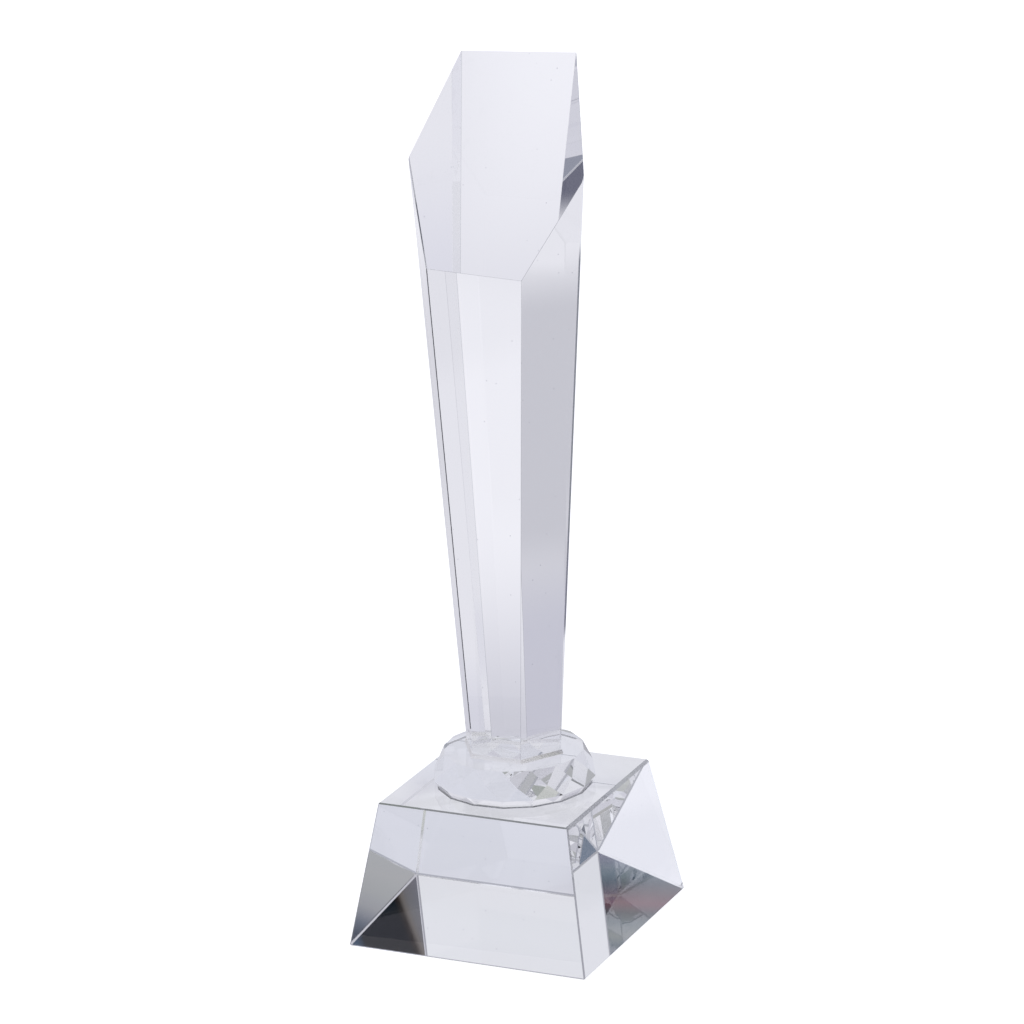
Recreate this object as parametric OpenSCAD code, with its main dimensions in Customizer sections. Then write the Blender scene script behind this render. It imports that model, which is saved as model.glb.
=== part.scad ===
// Crystal award: a tapering six-sided column of solid optical crystal, cut off on the slant,
// bonded through a diamond-cut collar to a square sloping base block.
// Millimetres, +Z up. The origin is the middle of the base's underside; the front faces -Y.
// Every crystal piece is ground from a solid blank, so each one is modelled as a blank with
// its flat facets sliced off one by one.

/* [Base block] */
// Width of the square underside
base_foot_w = 70; // [60:1:90]
// Width of the square top
base_top_w = 56; // [48:1:58]
// Height of the base block
base_h = 40; // [30:1:50]
// Width of the narrow polished bevel on every edge of the base
base_bevel = 0.45; // [0.2:0.05:1.5]

/* [Collar] */
// Number of facets in each row around the collar
collar_facets = 16; // [12:2:20]
// Corner radius of the collar's flat top
collar_top_r = 19.3; // [18:0.1:20]
// Corner radius at the collar's widest line
collar_wide_r = 22.4; // [21.5:0.1:24]
// Corner radius of the collar's bonded underside
collar_foot_r = 20.9; // [19.5:0.1:21.3]
// Height of the collar
collar_h = 9.6; // [9:0.1:11]
// Height of the undercut below the collar's widest line
collar_undercut_h = 2.1; // [1.2:0.1:2.5]
// Height of the row of points where the side facets meet, above the underside
collar_point_h = 5.6; // [5:0.1:6]
// Turn of the facet rows away from the front, in degrees
collar_turn = -7.5; // [-11:0.5:11]

/* [Column] */
// Half the width of the front flat at the foot
column_foot_front = 7.1; // [6:0.1:8]
// Half the width across the side corners at the foot
column_foot_side = 14.1; // [13:0.1:14.8]
// Half the width of the front flat at the upper section
column_head_front = 14.9; // [13:0.1:17]
// Half the width across the side corners at the upper section
column_head_side = 25.4; // [23:0.1:28]
// Height above the table of the upper section, where the slant crosses the axis
column_head_z = 212; // [190:1:230]
// Angle between the front flat and its neighbours, in degrees
column_corner = 58; // [56:0.5:62]
// Turn of the back flat out of parallel with the front one, in degrees
column_back_turn = 2.8; // [0:0.1:4]
// Rise of the slanted top from front to back, in millimetres per millimetre
slant_rise = 1.57; // [1.2:0.01:1.8]
// Sideways lean of the slanted top, in millimetres per millimetre
slant_lean = -0.04; // [-0.08:0.01:0.08]
// Width of the narrow polished bevel on the column's edges
column_bevel = 0.25; // [0.15:0.05:0.8]

/* [Adhesive] */
// Thickness of each cured adhesive film
film_t = 0.2; // [0.1:0.05:0.3]
// Width of the bead squeezed out around the column's foot
bead_w = 0.8; // [0.4:0.1:1.2]
// Height of that bead above the collar
bead_h = 0.9; // [0.5:0.1:1.2]
// Width of the lip of film showing around the collar's underside
lip_w = 0.3; // [0.1:0.1:0.6]

/* [Hidden] */
// one side of the cube used as a cutting slab: longer than the whole award
slab = 600;
crystal = [0.93, 0.94, 0.97, 0.35];
resin = [0.96, 0.94, 0.88, 0.5];

collar_z0 = base_h + film_t;
collar_z1 = collar_z0 + collar_h;
column_z0 = collar_z1 + film_t;
collar_pitch = 360 / collar_facets;
collar_wide_z = collar_z0 + collar_undercut_h;
collar_point_z = collar_z0 + collar_point_h;
// the kite facets fall straight from a top corner to a corner of the widest line, and the
// points between them lie on those same planes
collar_fall = (collar_wide_r - collar_top_r) / (collar_z1 - collar_wide_z);
collar_point_r = (collar_top_r + (collar_z1 - collar_point_z) * collar_fall) / cos(collar_pitch / 2);

// A facet is [outward unit normal, distance from the origin].
function facet_through(p, q, r) = let (n = cross(q - p, r - p), u = n / norm(n)) [u, u * p];

// the narrow facet that takes off the corner between two facets, width wide
function bevel_between(a, b, width) =
    let (s = a[0] + b[0], half = acos(a[0] * b[0]) / 2)
    [s / norm(s), (a[1] + b[1]) / norm(s) - width / 2 * tan(half)];

// bevels between each facet of a ring and the next one
function ring_bevels(ring, width) =
    [for (i = [0:len(ring) - 1]) bevel_between(ring[i], ring[(i + 1) % len(ring)], width)];

// bevels between each facet of a ring and one facet across them all
function rim_bevels(ring, cap, width) = [for (f = ring) bevel_between(f, cap, width)];

// a facet facing outward at plan angle a, through radius r0 at height z0 and r1 at z1
function side_facet(a, r0, z0, r1, z1) =
    let (rise = z1 - z0, out = r0 - r1, l = norm([rise, out]))
    [[rise * cos(a), rise * sin(a), out] / l, (rise * r0 + out * z0) / l];

// a facet turned by t degrees about the upright line through point m
function turned(f, t, m) =
    let (n = f[0], u = [n.x * cos(t) - n.y * sin(t), n.x * sin(t) + n.y * cos(t), n.z])
    [u, u * m];

// everything on the outer side of a facet
module beyond(f) {
    rotate([0, acos(f[0].z), atan2(f[0].y, f[0].x)])
        translate([-slab / 2, -slab / 2, f[1]])
            cube(slab);
}

// the child with the first n facets sliced off it, one after another
module sliced(facets, n) {
    if (n > 0)
        difference() {
            sliced(facets, n - 1)
                children();
            beyond(facets[n - 1]);
        }
    else
        children();
}

// a square block from z0 to z1 with every listed facet sliced off it
module cut_block(w, z0, z1, facets) {
    sliced(facets, len(facets))
        translate([-w / 2, -w / 2, z0])
            cube([w, w, z1 - z0]);
}

// base
base_sides = [for (i = [0:3]) side_facet(-90 + 90 * i, base_foot_w / 2, 0, base_top_w / 2, base_h)];
base_top = [[0, 0, 1], base_h];
base_foot = [[0, 0, -1], 0];
base_bevels = concat(
    ring_bevels(base_sides, base_bevel),
    rim_bevels(base_sides, base_top, base_bevel),
    rim_bevels(base_sides, base_foot, base_bevel)
);

// collar: four rows of facets, the kites and undercut set half a pitch from the triangles
function collar_row(half, r0, z0, r1, z1) =
    [for (i = [0:collar_facets - 1])
        side_facet(collar_turn - 90 + (i + half) * collar_pitch, r0, z0, r1, z1)];
flat = cos(collar_pitch / 2);
collar_kites = collar_row(0, collar_wide_r, collar_wide_z, collar_top_r, collar_z1);
collar_upper = collar_row(0.5, collar_point_r, collar_point_z, collar_top_r * flat, collar_z1);
collar_lower = collar_row(0.5, collar_wide_r * flat, collar_wide_z, collar_point_r, collar_point_z);
collar_under = collar_row(0.5, collar_foot_r * flat, collar_z0, collar_wide_r * flat, collar_wide_z);

// column: corners of its six-sided section, from the front left corner round
function hexagon(front, side, z) =
    let (deep = (side - front) * tan(column_corner))
    [[-front, -deep, z], [front, -deep, z], [side, 0, z], [front, deep, z], [-front, deep, z], [-side, 0, z]];
foot = hexagon(column_foot_front, column_foot_side, column_z0);
head = hexagon(column_head_front, column_head_side, column_head_z);
column_plain = [for (i = [0:5]) facet_through(foot[i], foot[(i + 1) % 6], head[i])];
column_sides = [for (i = [0:5])
    i == 3 ? turned(column_plain[i], column_back_turn, (foot[3] + foot[4] + head[3] + head[4]) / 4)
           : column_plain[i]];
slant_n = [-slant_lean, -slant_rise, 1];
column_slant = [slant_n / norm(slant_n), column_head_z / norm(slant_n)];
column_facets = concat(
    column_sides,
    [column_slant],
    ring_bevels(column_sides, column_bevel),
    rim_bevels(column_sides, column_slant, column_bevel)
);

// the bead leans in from its foot on the collar to a thin edge against the column
function column_r(f, z) = (f[1] - f[0].z * z) / norm([f[0].x, f[0].y]);
bead_sides = [for (f = column_sides)
    side_facet(atan2(f[0].y, f[0].x), column_r(f, collar_z1) + bead_w, collar_z1,
        column_r(f, column_z0 + bead_h) + 0.15, column_z0 + bead_h)];

// square sloping block, bevelled on all twelve edges
module base_block() {
    color(crystal)
        cut_block(base_foot_w + 2, 0, base_h, concat(base_sides, base_bevels));
}

// thin cured film between the base and the collar, showing a narrow lip all round
module base_adhesive() {
    r = (collar_foot_r + lip_w) * flat;
    color(resin)
        cut_block(2 * collar_wide_r + 4, base_h, collar_z0, collar_row(0.5, r + lip_w, base_h, r, collar_z0));
}

// diamond-cut drum: triangles, kites and triangles above the widest line, an undercut below
module faceted_collar() {
    color(crystal)
        cut_block(2 * collar_wide_r + 4, collar_z0, collar_z1,
            concat(collar_kites, collar_upper, collar_lower, collar_under));
}

// cured film under the column, with the bead that squeezed out around its foot
module column_adhesive() {
    color(resin)
        difference() {
            cut_block(2 * column_head_side, collar_z1, column_z0 + bead_h, bead_sides);
            cut_block(2 * column_head_side, column_z0, column_z0 + bead_h + 1, column_sides);
        }
}

// six flats widening from the foot to the slanted top, every edge finely bevelled
module column() {
    color(crystal)
        cut_block(2 * column_head_side + 8, column_z0, column_head_z + 2 * column_head_side, column_facets);
}

base_block();
base_adhesive();
faceted_collar();
column_adhesive();
column();
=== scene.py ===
"""Crystal award: a slant-topped six-sided column, its diamond-cut collar and its square base block.

Each crystal piece is a block with its flat facets sliced off one by one, as it is ground. Faces that
are cemented together carry a clear "bond" finish, because light crosses them without bending.
"""
import math

import bmesh
import bpy
from bpy.props import FloatProperty, FloatVectorProperty, IntProperty, PointerProperty
from bpy.types import Operator, Panel, PropertyGroup
from mathutils import Matrix, Vector


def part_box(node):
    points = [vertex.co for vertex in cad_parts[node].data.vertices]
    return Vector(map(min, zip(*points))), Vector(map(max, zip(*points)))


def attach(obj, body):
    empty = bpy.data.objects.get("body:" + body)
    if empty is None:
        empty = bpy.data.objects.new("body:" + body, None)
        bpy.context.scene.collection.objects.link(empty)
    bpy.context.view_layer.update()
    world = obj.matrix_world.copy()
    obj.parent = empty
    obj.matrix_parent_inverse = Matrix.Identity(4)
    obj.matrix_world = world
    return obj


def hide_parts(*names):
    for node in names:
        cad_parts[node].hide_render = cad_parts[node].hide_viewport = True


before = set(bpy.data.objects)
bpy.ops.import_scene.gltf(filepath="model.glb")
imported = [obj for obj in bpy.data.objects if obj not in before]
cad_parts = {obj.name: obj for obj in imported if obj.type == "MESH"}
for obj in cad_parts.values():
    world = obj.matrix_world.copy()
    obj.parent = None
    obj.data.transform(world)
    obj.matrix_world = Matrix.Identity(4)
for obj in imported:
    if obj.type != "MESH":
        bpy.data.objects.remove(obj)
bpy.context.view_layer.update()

bl_info = {
    "name": "Crystal Award",
    "version": (1, 0, 0),
    "blender": (4, 5, 0),
    "location": "3D View > Sidebar > Award",
    "description": "Builds a cemented crystal award and its studio around the loaded frame",
    "category": "Object",
}

MM = 0.001
UP = Vector((0, 0, 1))
# places of the bond, the ground bevel's finish and the milky film among a piece's materials
BOND = 1
EDGE = 2
MILK = 2
# how much wider a block starts than the piece that is cut from it
SPARE = 1.2
# the share of the bead's width under which the collar counts as cemented
SEAT = 0.75
# points nearer than this are one point
TINY = 1e-7
# how upright a level face's normal is, and how far from its height the face may lie
UPRIGHT = 0.999
LEVEL = 0.01 * MM
# the studio floor's radius, and its drop below the base
FLOOR_RADIUS = 6
FLOOR_DROP = 0.2 * MM
# how often light may turn in the crystal, gleam off a face, and cross a cemented or a clear one
BOUNCES = 40
GLEAMS = 24
CROSSINGS = 96

BASE_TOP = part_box("base_block")[1].z
COLLAR_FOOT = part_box("faceted_collar")[0].z
COLLAR_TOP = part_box("faceted_collar")[1].z
COLUMN_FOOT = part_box("column")[0].z
BEAD_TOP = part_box("column_adhesive")[1].z


def length(name, description, mm):
    """A length property with its default in millimetres."""
    return FloatProperty(name=name, description=description, default=mm * MM, min=0, unit="LENGTH",
                         subtype="DISTANCE", precision=5)


def turn(name, description, degrees):
    """An angle property with its default in degrees."""
    return FloatProperty(name=name, description=description, default=math.radians(degrees),
                         unit="ROTATION", subtype="ANGLE")


def colour(name, description, rgb):
    """A colour property."""
    return FloatVectorProperty(name=name, description=description, default=rgb, min=0, max=1,
                               subtype="COLOR", size=3)


class AwardSizes(PropertyGroup):
    """Sizes of the award's pieces."""

    base_foot: length("Base underside", "Width of the base's square underside", 70)
    base_head: length("Base top", "Width of the base's square top", 56)
    base_bevel: length("Base bevel", "Width of the bevel on the base's edges", 0.55)
    base_right_bevel: length("Right bevel", "Width of the bevel on the right of the base's top", 1.1)
    collar_facets: IntProperty(name="Collar facets", description="Facets in each row", default=16,
                               min=12)
    collar_turn: turn("Collar turn", "Turn of the facet rows away from the front", -7.5)
    collar_top_r: length("Collar top", "Corner radius of the collar's flat top", 19.3)
    collar_wide_r: length("Collar widest", "Corner radius of the collar's widest line", 22.4)
    collar_foot_r: length("Collar underside", "Corner radius of the collar's underside", 20.9)
    collar_undercut: length("Collar undercut", "Height of the undercut", 2.1)
    collar_points: length("Collar points", "Height of the points between the kite facets", 5.6)
    foot_front: length("Foot front", "Half the width of the front flat at the foot", 7.1)
    foot_side: length("Foot side", "Half the width across the side corners at the foot", 14.1)
    head_front: length("Head front", "Half the width of the front flat at the head section", 14.9)
    head_side: length("Head side", "Half the width across the side corners at the head section", 25.4)
    head_z: length("Head height", "Height of the head section, where the slant crosses the axis", 212)
    corner: turn("Column corner", "Angle between the front flat and its neighbours", 58)
    back_turn: turn("Back turn", "Turn of the back flat out of parallel with the front", 2.8)
    slant_rise: FloatProperty(name="Slant rise", description="Rise of the top, front to back", default=1.57)
    slant_lean: FloatProperty(name="Slant lean", description="Sideways lean of the top", default=-0.04)
    column_bevel: length("Column bevel", "Width of the bevel on the column's edges", 0.10)
    left_bevel: length("Left bevel", "Width of the bevel on the column's front left edge", 0.45)
    right_bevel: length("Right bevel", "Width of the bevel on the column's right edge", 1.20)
    slant_bevel: length("Slant bevel", "Width of the bevel on the slanted top's left edge", 0.55)
    head_bevel: length("Head bevel", "Width of the bevel on the slanted top's highest edge", 0.25)
    bead: length("Bead width", "Width of the adhesive bead around the column's foot", 0.6)
    bead_edge: length("Bead edge", "Thickness of the bead's top edge", 0.15)
    lip: length("Lip width", "Width of the adhesive lip around the collar's underside", 0.3)


class AwardColours(PropertyGroup):
    """Finishes of the award's pieces and its studio."""

    crystal: colour("Crystal", "Tint of the polished crystal", (0.985, 0.985, 0.99))
    speck: colour("Speck", "Colour of dust and fine pits against the light", (0.42, 0.42, 0.47))
    edge: colour("Bevel", "Tint of the ground bevels", (0.38, 0.39, 0.41))
    resin: colour("Adhesive", "Tint of the cured adhesive", (0.97, 0.94, 0.89))
    film: colour("Film edge", "Tint of the thin film's edge, which gathers dirt", (0.16, 0.16, 0.17))
    milk: colour("Milk", "Colour of the milky streaks in the column's adhesive", (0.95, 0.90, 0.86))
    crystal_ior: FloatProperty(name="Crystal index", description="Refractive index", default=1.517)
    resin_ior: FloatProperty(name="Adhesive index", description="Refractive index", default=1.49)
    floor: colour("Floor", "Colour of the studio floor", (0.80, 0.80, 0.85))
    sky: colour("Studio", "Colour of the studio's lit cloth", (0.57, 0.57, 0.63))
    # the sweep is painted light: the floor's glow as the crystal sees it, under its painted pools
    sweep: colour("Sweep", "Colour of the lit sweep of floor round the award", (0.80, 0.80, 0.86))
    pale: FloatProperty(name="Paleness", description="Light of the floor as the camera sees it",
                        default=0.82)


class AwardCamera(PropertyGroup):
    """Where the camera stands."""

    azimuth: turn("Azimuth", "Turn of the camera from the front towards +X", 24.73)
    elevation: turn("Elevation", "Height of the camera as an angle", 17.64)
    roll: turn("Roll", "Tilt of the camera about its own view", -1.747)
    distance: length("Distance", "Distance from the camera to the aim point", 1380)
    aim_side: length("Aim sideways", "How far the aim point is right of the axis", 1.485)
    aim_z: length("Aim height", "Height of the aim point", 116.97)
    lens: FloatProperty(name="Lens", description="Focal length", default=180.67, unit="CAMERA")


# ---------------------------------------------------------------- facets

def facet_through(p, q, r):
    """The facet (unit normal, distance from the origin) through three points."""
    normal = (q - p).cross(r - p).normalized()
    return normal, normal.dot(p)


def side_facet(angle, r0, z0, r1, z1):
    """The facet facing outward at a plan angle, through radius r0 at z0 and r1 at z1."""
    rise, out = z1 - z0, r0 - r1
    span = math.hypot(rise, out)
    normal = Vector((rise * math.cos(angle), rise * math.sin(angle), out)) / span
    return normal, (rise * r0 + out * z0) / span


def turned(facet, angle, through):
    """A facet turned about the upright line through a point."""
    normal = Matrix.Rotation(angle, 3, "Z") @ facet[0]
    return normal, normal.dot(through)


def reach(facet, z):
    """How far out a facet stands from the axis at height z."""
    normal, offset = facet
    return (offset - normal.z * z) / normal.xy.length


def corner_at(a, b, z):
    """Where two upright facets and the level z meet."""
    (na, da), (nb, db) = a, b
    da, db = da - na.z * z, db - nb.z * z
    span = na.x * nb.y - nb.x * na.y
    return Vector(((da * nb.y - db * na.y) / span, (na.x * db - nb.x * da) / span, z))


def edge_facet(a, b, width):
    """The facet that bevels the edge between two others, width across."""
    (na, da), (nb, db) = a, b
    cosine = na.dot(nb)
    on_edge = (na * (da - db * cosine) + nb * (db - da * cosine)) / (1 - cosine * cosine)
    normal = (na + nb).normalized()
    return normal, normal.dot(on_edge) - width / 2 * math.tan(na.angle(nb) / 2)


def base_sides(size):
    """The base's four sloping sides."""
    return [side_facet(math.radians(90 * i), size.base_foot / 2, 0, size.base_head / 2, BASE_TOP)
            for i in range(4)]


def base_bevels(size):
    """Bevels on the base's twelve edges."""
    sides, top, foot = base_sides(size), (UP, BASE_TOP), (-UP, 0)
    rims = [edge_facet(side, level, size.base_bevel) for side in sides for level in (top, foot)]
    uprights = [edge_facet(sides[i - 1], sides[i], size.base_bevel) for i in range(4)]
    return rims + uprights + [edge_facet(sides[0], top, size.base_right_bevel)]


def collar_row(size, half, r0, z0, r1, z1):
    """One row of facets round the collar; half sets it between the corners."""
    pitch = math.tau / size.collar_facets
    start = size.collar_turn - math.pi / 2
    return [side_facet(start + (i + half) * pitch, r0, z0, r1, z1) for i in range(size.collar_facets)]


def collar_flat(size):
    """Distance to a flat of a ring of facets, as a share of the distance to its corners."""
    return math.cos(math.pi / size.collar_facets)


def collar_facets(size):
    """All of the collar's side facets: kites, the triangles above and below them, the undercut."""
    flat = collar_flat(size)
    wide_z, point_z = COLLAR_FOOT + size.collar_undercut, COLLAR_FOOT + size.collar_points
    fall = (size.collar_wide_r - size.collar_top_r) / (COLLAR_TOP - wide_z)
    point_r = (size.collar_top_r + (COLLAR_TOP - point_z) * fall) / flat
    wide, top, foot = size.collar_wide_r, size.collar_top_r, size.collar_foot_r
    return (collar_row(size, 0, wide, wide_z, top, COLLAR_TOP)
            + collar_row(size, 0.5, point_r, point_z, top * flat, COLLAR_TOP)
            + collar_row(size, 0.5, wide * flat, wide_z, point_r, point_z)
            + collar_row(size, 0.5, foot * flat, COLLAR_FOOT, wide * flat, wide_z))


def film_edge(size):
    """The sloping edge of the film under the collar."""
    r = (size.collar_foot_r + size.lip) * collar_flat(size)
    return collar_row(size, 0.5, r + size.lip, BASE_TOP, r, COLLAR_FOOT)


def hexagon(front, side, z, corner):
    """Corners of the column's section, from the front left one round."""
    deep = (side - front) * math.tan(corner)
    plan = (-front, -deep), (front, -deep), (side, 0), (front, deep), (-front, deep), (-side, 0)
    return [Vector((x, y, z)) for x, y in plan]


def column_sides(size):
    """The column's six flats, from the front one round."""
    foot = hexagon(size.foot_front, size.foot_side, COLUMN_FOOT, size.corner)
    head = hexagon(size.head_front, size.head_side, size.head_z, size.corner)
    sides = [facet_through(foot[i], foot[(i + 1) % 6], head[i]) for i in range(6)]
    sides[3] = turned(sides[3], size.back_turn, (foot[3] + foot[4] + head[3] + head[4]) / 4)
    return sides


def column_slant(size):
    """The column's slanted top."""
    normal = Vector((-size.slant_lean, -size.slant_rise, 1))
    return normal.normalized(), size.head_z / normal.length


def polished_bevels(size):
    """The column's two widest upright bevels, which are polished like its flats."""
    sides = column_sides(size)
    return [edge_facet(sides[5], sides[0], size.left_bevel),
            edge_facet(sides[1], sides[2], size.right_bevel)]


def ground_bevels(size):
    """Bevels on the column's other upright edges and round its slanted top."""
    sides, slant = column_sides(size), column_slant(size)
    uprights = [edge_facet(sides[i - 1], sides[i], size.column_bevel) for i in (1, 3, 4, 5)]
    widths = [size.column_bevel] * 3 + [size.head_bevel, size.column_bevel, size.slant_bevel]
    return uprights + [edge_facet(side, slant, width) for side, width in zip(sides, widths)]


def bead_sides(size):
    """The sloping sides of the adhesive bead around the column's foot."""
    return [side_facet(math.atan2(side[0].y, side[0].x),
                       reach(side, COLLAR_TOP) + size.bead, COLLAR_TOP,
                       reach(side, BEAD_TOP) + size.bead_edge, BEAD_TOP) for side in column_sides(size)]


# ---------------------------------------------------------------- cutting and cementing

def block(half, z0, z1):
    """A bmesh of a square block from z0 to z1."""
    bm = bmesh.new()
    place = Matrix.Translation((0, 0, (z0 + z1) / 2)) @ Matrix.Diagonal((2 * half, 2 * half, z1 - z0, 1))
    bmesh.ops.create_cube(bm, size=1, matrix=place)
    return bm


def everything(bm):
    """All of a bmesh's geometry, as the operators want it."""
    return bm.verts[:] + bm.edges[:] + bm.faces[:]


def slice_off(bm, facets, finish=0):
    """Slice each facet off a convex block and close it again, with a finish on the new face."""
    for normal, offset in facets:
        cut = bmesh.ops.bisect_plane(bm, geom=everything(bm), dist=TINY, plane_co=normal * offset,
                                     plane_no=normal, clear_outer=True)["geom_cut"]
        edges = [g for g in cut if isinstance(g, bmesh.types.BMEdge)]
        if edges:
            for face in bmesh.ops.contextual_create(bm, geom=edges)["faces"]:
                face.material_index = finish


def level_faces(bm, z, sign):
    """The faces that lie level at height z and face up (sign 1) or down (-1)."""
    return [f for f in bm.faces
            if f.normal.z * sign > UPRIGHT and abs(f.calc_center_median().z - z) < LEVEL]


def inside(point, facets):
    """True if a point is on the inner side of every facet."""
    return all(n.dot(point) <= d for n, d in facets)


def score(bm, pick, facets):
    """Score the lines where facets cross the picked faces, without cutting anything off."""
    for normal, offset in facets:
        faces = pick(bm)
        geom = list(dict.fromkeys(g for f in faces for g in (*f.verts, *f.edges))) + faces
        bmesh.ops.bisect_plane(bm, geom=geom, dist=TINY, plane_co=normal * offset, plane_no=normal)


def faces_inward(face):
    """True if a wall faces the upright axis."""
    return face.normal.xy.dot(face.calc_center_median().xy) < -TINY


def bond(faces, finish=BOND):
    """Give cemented faces the bond finish, or another."""
    for face in faces:
        face.material_index = finish


def finish_piece(name, bm, materials, node):
    """Make the bmesh a piece that stands for a CAD node and rides with the award."""
    bmesh.ops.recalc_face_normals(bm, faces=bm.faces)
    mesh = bpy.data.meshes.new(name)
    bm.to_mesh(mesh)
    bm.free()
    for material in materials:
        mesh.materials.append(material)
    piece = bpy.data.objects.new(name, mesh)
    bpy.context.scene.collection.objects.link(piece)
    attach(piece, "root")
    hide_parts(node)
    return piece


# ---------------------------------------------------------------- finishes

def add(tree, kind, **values):
    """Add a shader node; values set its sockets, linking those that are given as sockets."""
    made = tree.nodes.new(kind)
    for key, value in values.items():
        key = key.replace("_", " ")
        if hasattr(made, key.replace(" ", "_")) and key not in made.inputs:
            setattr(made, key.replace(" ", "_"), value)
        elif isinstance(value, bpy.types.NodeSocket):
            tree.links.new(value, made.inputs[key])
        else:
            made.inputs[key].default_value = value
    return made


def reckon(tree, kind, operation, *values):
    """A maths node for an operation on numbers, vectors or sockets, in the order of its inputs."""
    made = add(tree, kind, operation=operation)
    for socket, value in zip(made.inputs, values):
        if isinstance(value, bpy.types.NodeSocket):
            tree.links.new(value, socket)
        else:
            socket.default_value = value
    return made


def new_material(name):
    """An empty node material and its tree."""
    made = bpy.data.materials.new(name)
    made.use_nodes = True
    made.node_tree.nodes.clear()
    return made, made.node_tree


def rgba(rgb):
    """A colour as a socket's value."""
    return (*rgb, 1)


def mix_shaders(tree, share, first, second):
    """A share of the second shader laid over the first."""
    mix = add(tree, "ShaderNodeMixShader", Fac=share)
    tree.links.new(first.outputs[0], mix.inputs[1])
    tree.links.new(second.outputs[0], mix.inputs[2])
    return mix


def crystal_finish(name, look):
    """Polished crystal: hand-smudged gloss, the polishing wheel's faint waves, a few dust specks."""
    made, tree = new_material(name)
    place = add(tree, "ShaderNodeTexCoord").outputs["Object"]
    smudge = add(tree, "ShaderNodeTexNoise", Vector=place, Scale=38, Detail=4, Roughness=0.6)
    gloss = add(tree, "ShaderNodeMapRange", Value=smudge.outputs["Fac"], From_Min=0.52, From_Max=0.8,
                To_Min=0, To_Max=0.008)
    cells = add(tree, "ShaderNodeTexVoronoi", Vector=place, Scale=240)
    dust = reckon(tree, "ShaderNodeMath", "LESS_THAN", cells.outputs["Distance"], 0.038)
    tint = add(tree, "ShaderNodeMix", data_type="RGBA", Factor=dust.outputs[0],
               A=rgba(look.crystal), B=rgba(look.speck))
    wave = add(tree, "ShaderNodeTexNoise", Vector=place, Scale=22, Detail=1)
    bump = add(tree, "ShaderNodeBump", Height=wave.outputs["Fac"], Strength=0.012, Distance=0.0006)
    shader = add(tree, "ShaderNodeBsdfPrincipled", Transmission_Weight=1, IOR=look.crystal_ior,
                 Roughness=gloss.outputs[0], Normal=bump.outputs[0])
    tree.links.new(tint.outputs["Result"], shader.inputs["Base Color"])
    add(tree, "ShaderNodeOutputMaterial", Surface=shader.outputs[0])
    return made


def edge_finish(look):
    """A bevel: fine ground and buffed, so it is softer than the flats and a little grey."""
    made = bpy.data.materials.get("crystal_edge")
    if made is None:
        made, tree = new_material("crystal_edge")
        place = add(tree, "ShaderNodeTexCoord").outputs["Object"]
        grind = add(tree, "ShaderNodeTexNoise", Vector=place, Scale=420, Detail=3)
        satin = add(tree, "ShaderNodeMapRange", Value=grind.outputs["Fac"], From_Min=0.3, From_Max=0.7,
                    To_Min=0.08, To_Max=0.18)
        shader = add(tree, "ShaderNodeBsdfPrincipled", Transmission_Weight=1, IOR=look.crystal_ior,
                     Base_Color=rgba(look.edge), Roughness=satin.outputs[0])
        add(tree, "ShaderNodeOutputMaterial", Surface=shader.outputs[0])
    return made


def resin_finish(name, look, tint):
    """Cured adhesive: clear but milky at its skin, with tiny bubbles."""
    made, tree = new_material(name)
    place = add(tree, "ShaderNodeTexCoord").outputs["Object"]
    bubbles = add(tree, "ShaderNodeTexVoronoi", Vector=place, Scale=1900)
    swirl = add(tree, "ShaderNodeTexNoise", Vector=place, Scale=700, Detail=3)
    bump = add(tree, "ShaderNodeBump", Height=bubbles.outputs["Distance"], Strength=0.2, Distance=0.0001)
    skin = add(tree, "ShaderNodeMapRange", Value=swirl.outputs["Fac"], To_Min=0.02, To_Max=0.22)
    shader = add(tree, "ShaderNodeBsdfPrincipled", Transmission_Weight=1, IOR=look.resin_ior,
                 Base_Color=rgba(tint), Roughness=skin.outputs[0], Normal=bump.outputs[0])
    add(tree, "ShaderNodeOutputMaterial", Surface=shader.outputs[0])
    return made


def bond_finish():
    """A cemented face: light crosses it as if it weren't there."""
    made = bpy.data.materials.get("bond")
    if made is None:
        made, tree = new_material("bond")
        clear = add(tree, "ShaderNodeBsdfTransparent")
        add(tree, "ShaderNodeOutputMaterial", Surface=clear.outputs[0])
    return made


def milk_finish(look):
    """The film under the column: clear, with faint milky streaks where it spread."""
    made, tree = new_material("milk")
    place = add(tree, "ShaderNodeTexCoord").outputs["Object"]
    lie = add(tree, "ShaderNodeMapping", Vector=place, Scale=(60, 260, 60))
    streak = add(tree, "ShaderNodeTexNoise", Vector=lie.outputs[0], Scale=1, Detail=3)
    cloud = add(tree, "ShaderNodeMapRange", Value=streak.outputs["Fac"], From_Min=0.35, From_Max=0.7,
                To_Min=0, To_Max=0.16)
    clear = add(tree, "ShaderNodeBsdfTransparent")
    through = add(tree, "ShaderNodeBsdfTranslucent", Color=rgba(look.milk))
    back = add(tree, "ShaderNodeBsdfDiffuse", Color=rgba(look.milk))
    haze = mix_shaders(tree, 0.5, through, back)
    film = mix_shaders(tree, cloud.outputs[0], clear, haze)
    add(tree, "ShaderNodeOutputMaterial", Surface=film.outputs[0])
    return made


# ---------------------------------------------------------------- the studio

def soften(tree, below, place, centre, inner, outer, shade):
    """A soft-edged patch of a shade laid over a colour, round a centre in the place given."""
    offset = reckon(tree, "ShaderNodeVectorMath", "SUBTRACT", place, centre)
    far = reckon(tree, "ShaderNodeVectorMath", "LENGTH", offset.outputs[0])
    share = add(tree, "ShaderNodeMapRange", interpolation_type="SMOOTHSTEP", Value=far.outputs["Value"],
                From_Min=inner, From_Max=outer, To_Min=1, To_Max=0)
    mix = add(tree, "ShaderNodeMix", data_type="RGBA", Factor=share.outputs[0], A=below, B=rgba(shade))
    return mix.outputs["Result"]


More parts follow.
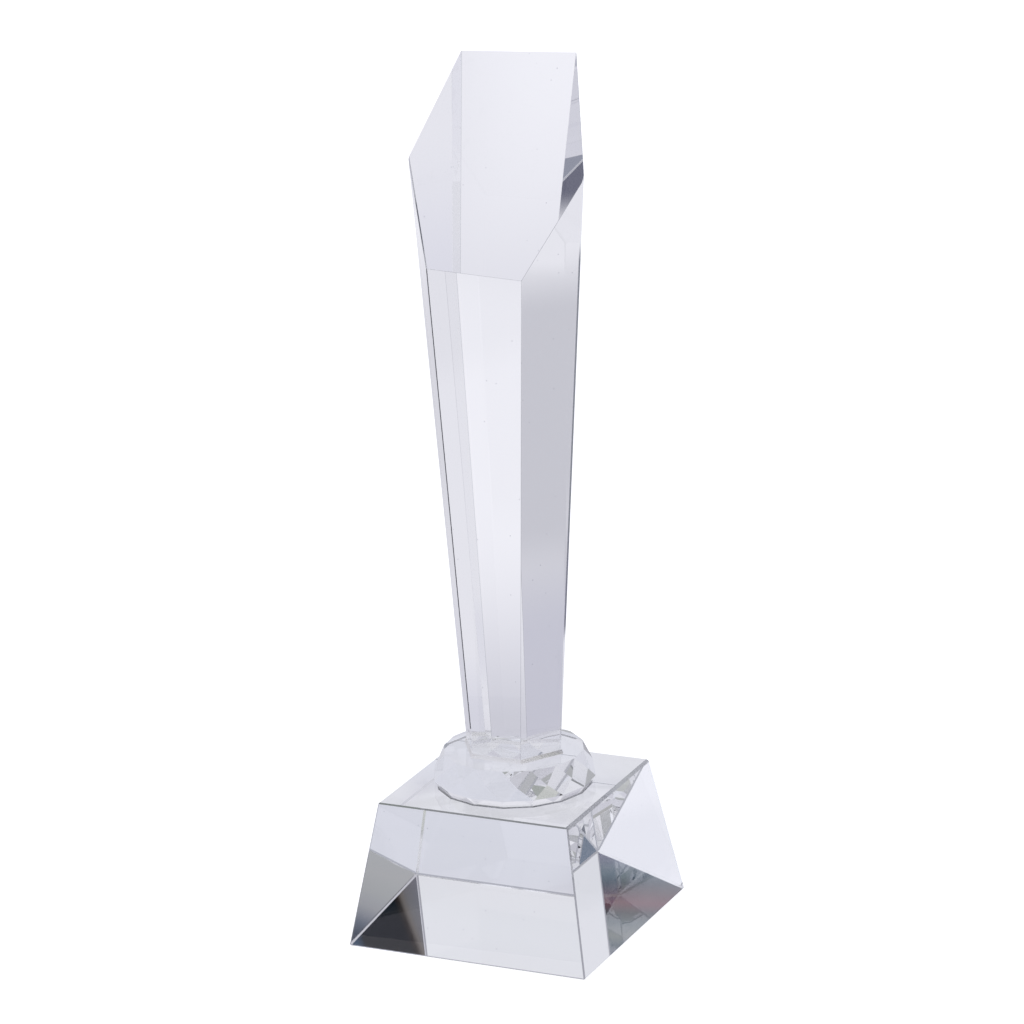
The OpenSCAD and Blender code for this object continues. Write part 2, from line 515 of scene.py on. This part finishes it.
def heading(azimuth, elevation):
    """The direction at an azimuth from the front towards +X, and an elevation, in degrees."""
    a, e = math.radians(azimuth), math.radians(elevation)
    return Vector((math.sin(a) * math.cos(e), -math.cos(a) * math.cos(e), math.sin(e)))


# the studio's cloths and flags: azimuth and elevation in degrees, then the reach of the full shade
# and of its soft rim as shares of the studio's radius, and the shade; each lies over those above it
FLAGS = (
    (0, 90, 1.00, 1.09, (0.395, 0.405, 0.42)),
    (-35, 41, 0.22, 0.38, (0.91, 0.92, 1.00)),
    (79, 21, 0.10, 0.20, (0.05, 0.10, 0.17)),
    (-126, 9, 0.05, 0.09, (0.02, 0.02, 0.03)),
    (90, 62, 0.15, 0.30, (0.60, 0.62, 0.595)),
    (166, 51, 0.15, 0.30, (0.335, 0.36, 0.345)),
    (-24, 2, 0.05, 0.12, (0.05, 0.05, 0.07)),
    (-155, 22, 0.15, 0.30, (0.785, 0.797, 0.849)),
)
# the floor's painted pools of light and shade, which the crystal sees on the glowing floor, among them
# the award's painted shadow round its foot: azimuth in degrees, distance from the axis, the reach of
# the full shade and of its soft rim in metres, and the shade
PAINTED_POOLS = (
    (0, 0.0, 0.15, 0.45, (0.615, 0.615, 0.69)),
    (-155, 0.60, 0.14, 0.42, (0.90, 0.90, 0.96)),
    (-111, 0.56, 0.28, 0.40, (0.605, 0.605, 0.665)),
    (-112, 0.26, 0.05, 0.16, (0.53, 0.53, 0.62)),
    (80, 0.33, 0.05, 0.22, (0.695, 0.695, 0.78)),
    (58, 0.66, 0.05, 0.20, (0.742, 0.742, 0.818)),
    (135, 0.125, 0.03, 0.07, (0.225, 0.24, 0.307)),
    (0, 0.0, 0.030, 0.042, (0.744, 0.750, 0.807)),
    (-158, 0.055, 0.02, 0.045, (0.709, 0.722, 0.804)),
    (-36, 0.62, 0.16, 0.20, (0.089, 0.092, 0.142)),
    (-30, 1.30, 0.60, 0.72, (0.113, 0.124, 0.161)),
)
# small glowing cards close to the award that paint reflections and dark patches into the crystal: azimuth
# in degrees, distance and half width in metres, foot and head in millimetres, then the way along which
# the shades lie and each one's place on it in millimetres
PAINTED_REFLECTION_CARDS = {
    "Red_Card": (-13, 0.085, 0.075, 0, 36, "up", (
        (5, (0.206, 0.235, 0.32)), (7.5, (0.162, 0.205, 0.256)), (9.5, (0.088, 0.131, 0.17)),
        (11.5, (0.02, 0.04, 0.065)), (14.5, (0.04, 0.005, 0.015)), (17.5, (0.11, 0.002, 0.02)),
        (20.5, (0.01, 0.01, 0.02)), (23.5, (0.052, 0.087, 0.101)), (27.5, (0.147, 0.169, 0.168)),
        (30, (0.05, 0.085, 0.12)), (36, (0.30, 0.30, 0.38)))),
    "Brown_Card": (172, 0.085, 0.0135, 8, 37, "across", (
        (-12, (0.03, 0.06, 0.11)), (-9.5, (0.002, 0.003, 0.006)), (3.2, (0.001, 0.001, 0.002)),
        (4.8, (0.020, 0.012, 0.008)), (6.2, (0.140, 0.125, 0.118)), (7.6, (0.150, 0.146, 0.158)),
        (12, (0.165, 0.170, 0.205)))),
    "Corner_Card": (170, 0.20, 0.03, 100, 135, "up", (
        (100, (0.41, 0.42, 0.44)), (106.5, (0.39, 0.40, 0.42)), (109.5, (0.36, 0.37, 0.40)),
        (112.5, (0.33, 0.34, 0.37)), (115.5, (0.25, 0.26, 0.30)), (118.5, (0.15, 0.165, 0.21)),
        (124, (0.06, 0.07, 0.10)))),
}


# the cards' painted reflections show to light that gleams off a face once, or turns in a piece this often,
# give or take
GLEAM = (1, 0.5)
TURNS = (5.5, 2)


# ---------------------------------------------------------------- operators

class AWARD_OT_base_block(Operator):
    """Slice, bevel and finish the base block"""

    bl_idname = "award.base_block"
    bl_label = "Base block"

    def execute(self, context):
        size, look = context.scene.award_sizes, context.scene.award_colours
        bm = block(size.base_foot, 0, BASE_TOP)
        slice_off(bm, base_sides(size))
        slice_off(bm, base_bevels(size), EDGE)
        under_film = film_edge(size)
        score(bm, lambda bm: level_faces(bm, BASE_TOP, 1), under_film)
        bond(f for f in level_faces(bm, BASE_TOP, 1) if inside(f.calc_center_median(), under_film))
        finish_piece("Base_Block", bm, (crystal_finish("base_crystal", look), bond_finish(),
                                        edge_finish(look)), "base_block")
        return {"FINISHED"}


class AWARD_OT_base_adhesive(Operator):
    """Lay the film that cements the collar to the base"""

    bl_idname = "award.base_adhesive"
    bl_label = "Base adhesive"

    def execute(self, context):
        size, look = context.scene.award_sizes, context.scene.award_colours
        bm = block(size.collar_wide_r * SPARE, BASE_TOP, COLLAR_FOOT)
        slice_off(bm, film_edge(size))
        flat = size.collar_foot_r * collar_flat(size)
        foot = collar_row(size, 0.5, flat, BASE_TOP, flat, COLLAR_FOOT)
        score(bm, lambda bm: level_faces(bm, COLLAR_FOOT, 1), foot)
        bond(f for f in level_faces(bm, COLLAR_FOOT, 1) if inside(f.calc_center_median(), foot))
        bond(level_faces(bm, BASE_TOP, -1))
        finish_piece("Base_Adhesive", bm, (resin_finish("base_resin", look, look.film), bond_finish()),
                     "base_adhesive")
        return {"FINISHED"}


class AWARD_OT_faceted_collar(Operator):
    """Cut the collar's rows of kites and triangles"""

    bl_idname = "award.faceted_collar"
    bl_label = "Faceted collar"

    def execute(self, context):
        size, look = context.scene.award_sizes, context.scene.award_colours
        bm = block(size.collar_wide_r * SPARE, COLLAR_FOOT, COLLAR_TOP)
        slice_off(bm, collar_facets(size))
        seat = [(n, d + size.bead * SEAT) for n, d in column_sides(size)]
        score(bm, lambda bm: level_faces(bm, COLLAR_TOP, 1), seat)
        bond(f for f in level_faces(bm, COLLAR_TOP, 1) if inside(f.calc_center_median(), seat))
        bond(level_faces(bm, COLLAR_FOOT, -1))
        finish_piece("Faceted_Collar", bm, (crystal_finish("collar_crystal", look), bond_finish()),
                     "faceted_collar")
        return {"FINISHED"}


class AWARD_OT_column_adhesive(Operator):
    """Lay the film under the column and the bead that squeezed out of it"""

    bl_idname = "award.column_adhesive"
    bl_label = "Column adhesive"

    def execute(self, context):
        size, look = context.scene.award_sizes, context.scene.award_colours
        sides = column_sides(size)
        bm = block(size.head_side, COLLAR_TOP, BEAD_TOP)
        slice_off(bm, bead_sides(size))
        score(bm, lambda bm: level_faces(bm, BEAD_TOP, 1), sides)
        seat = [f for f in level_faces(bm, BEAD_TOP, 1) if inside(f.calc_center_median(), sides)]
        if len(seat) != 1:
            raise RuntimeError("the column's outline doesn't close on the bead")
        floor = bmesh.ops.extrude_face_region(bm, geom=seat)["geom"]
        bmesh.ops.delete(bm, geom=seat, context="FACES_ONLY")
        corners = [corner_at(sides[i - 1], sides[i], BEAD_TOP) for i in range(6)]
        for v in (g for g in floor if isinstance(g, bmesh.types.BMVert)):
            i = min(range(6), key=lambda k: (corners[k] - v.co).length)
            v.co = corner_at(sides[i - 1], sides[i], COLUMN_FOOT)
        bmesh.ops.recalc_face_normals(bm, faces=bm.faces)
        bond(f for f in bm.faces if faces_inward(f))
        bond(level_faces(bm, COLLAR_TOP, -1))
        bond(level_faces(bm, COLUMN_FOOT, 1), MILK)
        finish_piece("Column_Adhesive", bm, (resin_finish("column_resin", look, look.resin), bond_finish(),
                                             milk_finish(look)), "column_adhesive")
        return {"FINISHED"}


class AWARD_OT_column(Operator):
    """Slice the six flats and the slanted top, and bevel their edges"""

    bl_idname = "award.column"
    bl_label = "Column"

    def execute(self, context):
        size, look = context.scene.award_sizes, context.scene.award_colours
        bm = block(size.head_side * SPARE, COLUMN_FOOT, size.head_z + 2 * size.head_side)
        slice_off(bm, column_sides(size) + [column_slant(size)] + polished_bevels(size))
        slice_off(bm, ground_bevels(size), EDGE)
        bead_line = [(UP, BEAD_TOP)]
        score(bm, lambda bm: bm.faces[:], bead_line)
        bond(f for f in bm.faces if inside(f.calc_center_median(), bead_line))
        finish_piece("Column", bm, (crystal_finish("column_crystal", look), bond_finish(),
                                    edge_finish(look)), "column")
        return {"FINISHED"}


class AWARD_OT_stage(Operator):
    """Set the floor, the studio light and the camera"""

    bl_idname = "award.stage"
    bl_label = "Stage"

    def execute(self, context):
        scene, look = context.scene, context.scene.award_colours
        self.lay_floor(scene, look)
        self.light_studio(scene, look)
        for name, card in PAINTED_REFLECTION_CARDS.items():
            self.stand_card(scene, name, *card)
        self.stand_camera(scene, scene.award_camera)
        scene.view_settings.view_transform = "Standard"
        scene.cycles.max_bounces = BOUNCES
        scene.cycles.transmission_bounces = BOUNCES
        scene.cycles.glossy_bounces = GLEAMS
        scene.cycles.transparent_max_bounces = CROSSINGS
        return {"FINISHED"}

    def lay_floor(self, scene, look):
        """A wide round floor just under the base: pale to look at, and for the crystal a glowing floor with
        painted pools of light and shadow.
        """
        bm = bmesh.new()
        bmesh.ops.create_circle(bm, cap_ends=True, radius=FLOOR_RADIUS, segments=96)
        bmesh.ops.translate(bm, verts=bm.verts, vec=-UP * FLOOR_DROP)
        mesh = bpy.data.meshes.new("Floor")
        bm.to_mesh(mesh)
        bm.free()
        floor = bpy.data.objects.new("Floor", mesh)
        scene.collection.objects.link(floor)
        made, tree = new_material("floor")
        mesh.materials.append(made)
        place = add(tree, "ShaderNodeTexCoord").outputs["Object"]
        lit = add(tree, "ShaderNodeRGB").outputs[0]
        lit.default_value = rgba(look.sweep)
        # painted light and shadow: each pool lays a lit or shaded patch over the floor's glow, and the
        # shaded ones round the award stand for its shadow
        for azimuth, distance, inner, outer, shade in PAINTED_POOLS:
            lit = soften(tree, lit, place, heading(azimuth, 0) * distance, inner, outer, shade)
        # the floor glows with this painted light and shadow for every ray but the camera's
        cloth = add(tree, "ShaderNodeEmission", Color=lit)
        paint = add(tree, "ShaderNodeBsdfDiffuse", Color=rgba(look.floor))
        glow = add(tree, "ShaderNodeEmission", Color=(1, 1, 1, 1), Strength=look.pale)
        seen = add(tree, "ShaderNodeAddShader")
        tree.links.new(paint.outputs[0], seen.inputs[0])
        tree.links.new(glow.outputs[0], seen.inputs[1])
        self.mix_for_camera(tree, cloth, seen, "ShaderNodeOutputMaterial")

    def light_studio(self, scene, look):
        """Soft light all round, with dark flags, as crystal is lit."""
        world = bpy.data.worlds.new("Studio")
        world.use_nodes = True
        scene.world = world
        tree = world.node_tree
        tree.nodes.clear()
        place = add(tree, "ShaderNodeTexCoord").outputs["Generated"]
        lit = add(tree, "ShaderNodeRGB").outputs[0]
        lit.default_value = rgba(look.sky)
        for azimuth, elevation, inner, outer, shade in FLAGS:
            lit = soften(tree, lit, place, heading(azimuth, elevation), inner, outer, shade)
        cloth = add(tree, "ShaderNodeBackground", Color=lit)
        seen = add(tree, "ShaderNodeBackground", Color=(1, 1, 1, 1))
        self.mix_for_camera(tree, cloth, seen, "ShaderNodeOutputWorld")

    def stand_card(self, scene, name, azimuth, distance, half, foot, head, way, shades):
        """A small upright glowing card facing the award, which only the crystal sees: a painted reflection.
        """
        bm = bmesh.new()
        place = (Matrix.Translation(heading(azimuth, 0) * distance + UP * (foot + head) / 2 * MM)
                 @ Matrix.Rotation(math.radians(azimuth), 4, "Z") @ Matrix.Rotation(math.pi / 2, 4, "X")
                 @ Matrix.Diagonal((half, (head - foot) / 2 * MM, 1, 1)))
        bmesh.ops.create_grid(bm, x_segments=1, y_segments=1, size=1, matrix=place)
        mesh = bpy.data.meshes.new(name)
        bm.to_mesh(mesh)
        bm.free()
        card = bpy.data.objects.new(name, mesh)
        scene.collection.objects.link(card)
        card.visible_camera = card.visible_shadow = card.visible_diffuse = False
        along = UP if way == "up" else heading(azimuth + 90, 0)
        mesh.materials.append(self.card_finish(name.lower(), along, shades))

    def card_finish(self, name, along, shades):
        """A card's painted reflection: shades in a row along one way, glowing for some of the crystal's
        light.
        """
        made, tree = new_material(name)
        made.cycles.emission_sampling = "NONE"
        place = add(tree, "ShaderNodeTexCoord").outputs["Object"]
        way = reckon(tree, "ShaderNodeVectorMath", "DOT_PRODUCT", place, along)
        first, last = shades[0][0], shades[-1][0]
        share = add(tree, "ShaderNodeMapRange", Value=way.outputs["Value"], From_Min=first * MM,
                    From_Max=last * MM)
        ramp = add(tree, "ShaderNodeValToRGB", Fac=share.outputs[0])
        stops = ramp.color_ramp.elements
        while len(stops) < len(shades):
            stops.new(1)
        for stop, (at, shade) in zip(stops, shades):
            stop.position = (at - first) / (last - first)
            stop.color = rgba(shade)
        # painted reflection: the card glows with its shades only for the crystal's gleams and inner turns
        cloth = add(tree, "ShaderNodeEmission", Color=ramp.outputs[0])
        depth = add(tree, "ShaderNodeLightPath").outputs["Ray Depth"]
        gleam, turned_in = (reckon(tree, "ShaderNodeMath", "COMPARE", depth, *span).outputs[0]
                            for span in (GLEAM, TURNS))
        shown = reckon(tree, "ShaderNodeMath", "ADD", gleam, turned_in)
        clear = add(tree, "ShaderNodeBsdfTransparent")
        card = mix_shaders(tree, shown.outputs[0], clear, cloth)
        add(tree, "ShaderNodeOutputMaterial", Surface=card.outputs[0])
        return made

    def mix_for_camera(self, tree, cloth, seen, output):
        """The camera looks at a plain pale studio; the crystal gathers the lit cloths and flags and the
        floor's painted light and shadow.
        """
        camera_ray = add(tree, "ShaderNodeLightPath").outputs["Is Camera Ray"]
        add(tree, output, Surface=mix_shaders(tree, camera_ray, cloth, seen).outputs[0])

    def stand_camera(self, scene, view):
        """The camera, by its turn, height and tilt about the aim point."""
        back = heading(math.degrees(view.azimuth), math.degrees(view.elevation))
        right = Vector((math.cos(view.azimuth), math.sin(view.azimuth), 0))
        camera = bpy.data.objects.new("Camera", bpy.data.cameras.new("Camera"))
        axes = Matrix((right, back.cross(right), back)).transposed() @ Matrix.Rotation(view.roll, 3, "Z")
        place = UP * view.aim_z + right * view.aim_side + back * view.distance
        camera.matrix_world = Matrix.Translation(place) @ axes.to_4x4()
        camera.data.lens = view.lens
        camera.data.clip_end = 50
        scene.collection.objects.link(camera)
        scene.camera = camera


STEPS = (AWARD_OT_base_block, AWARD_OT_base_adhesive, AWARD_OT_faceted_collar,
         AWARD_OT_column_adhesive, AWARD_OT_column, AWARD_OT_stage)


class AWARD_PT_panel(Panel):
    """The award's steps and sizes"""

    bl_label = "Crystal award"
    bl_space_type = "VIEW_3D"
    bl_region_type = "UI"
    bl_category = "Award"

    def draw(self, context):
        layout = self.layout
        for step in STEPS:
            layout.operator(step.bl_idname)
        for group in (context.scene.award_sizes, context.scene.award_colours, context.scene.award_camera):
            box = layout.box()
            for name in group.__annotations__:
                box.prop(group, name)


GROUPS = {"award_sizes": AwardSizes, "award_colours": AwardColours, "award_camera": AwardCamera}


def register():
    """Register the classes and hang the settings on the scene."""
    for cls in (*GROUPS.values(), *STEPS, AWARD_PT_panel):
        bpy.utils.register_class(cls)
    for name, cls in GROUPS.items():
        setattr(bpy.types.Scene, name, PointerProperty(type=cls))


def unregister():
    """Undo register."""
    for name in GROUPS:
        delattr(bpy.types.Scene, name)
    for cls in (AWARD_PT_panel, *reversed(STEPS), *reversed(GROUPS.values())):
        bpy.utils.unregister_class(cls)


def main():
    """Build everything, in order."""
    register()
    for step in STEPS:
        group, name = step.bl_idname.split(".")
        getattr(getattr(bpy.ops, group), name)()


if __name__ == "__main__":
    main()
